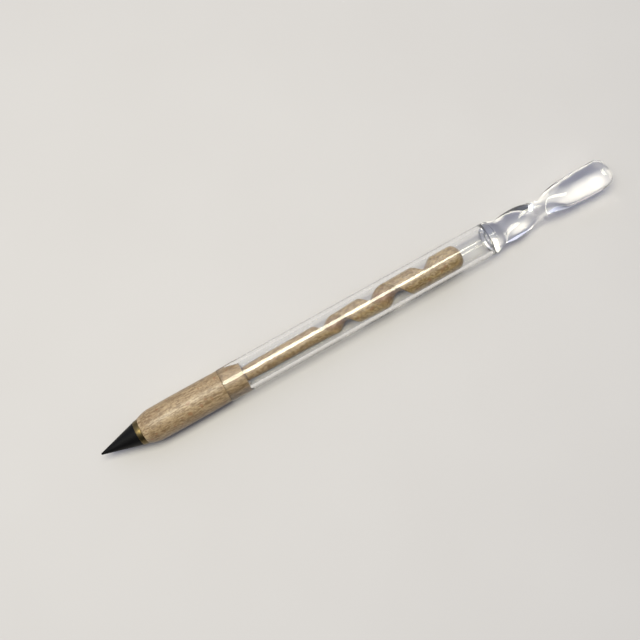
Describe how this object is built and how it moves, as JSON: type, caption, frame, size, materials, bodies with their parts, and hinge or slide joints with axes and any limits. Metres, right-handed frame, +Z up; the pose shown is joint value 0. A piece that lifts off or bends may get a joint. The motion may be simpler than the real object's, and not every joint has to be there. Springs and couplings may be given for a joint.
{
  "type": "inkless graphite-tip pen",
  "caption": "Inkless desk pen: graphite cone and brass collar on a beech grip, spiral-carved beech core in a glass tube, twisted glass tail.",
  "frame": {"origin": "middle of the overall length, directly below the pen's axis, at the lowest line of the tube where it rests", "axes": "+X along the pen from the writing point to the tail, +Z up, +Y to the left seen from the tail's side looking at the point"},
  "size_m": [0.2012, 0.012, 0.012],
  "materials": {
    "graphite": "satin pressed graphite",
    "brass": "turned and polished",
    "beech": "fine sanded, unvarnished, short dark flecks",
    "beech_core": "sanded, carved groove",
    "tube_glass": "clear, fire polished",
    "tail_glass": "clear, hot formed",
    "glue": "clear cured adhesive"
  },
  "bodies": {
    "pen_body": {"glass_tube": "tube_glass", "glass_tail": "tail_glass", "tail_glue": "glue", "spiral_core": "beech_core", "grip_glue": "glue", "grip": "beech", "thread_insert": "brass"},
    "tip": {"graphite_tip": "graphite", "tip_collar": "brass"}
  },
  "joints": [
    {"name": "tip_unscrew", "type": "slide", "parent": "pen_body", "child": "tip", "axis": [-1, 0, 0], "range_m": [0, 0.014]}
  ]
}
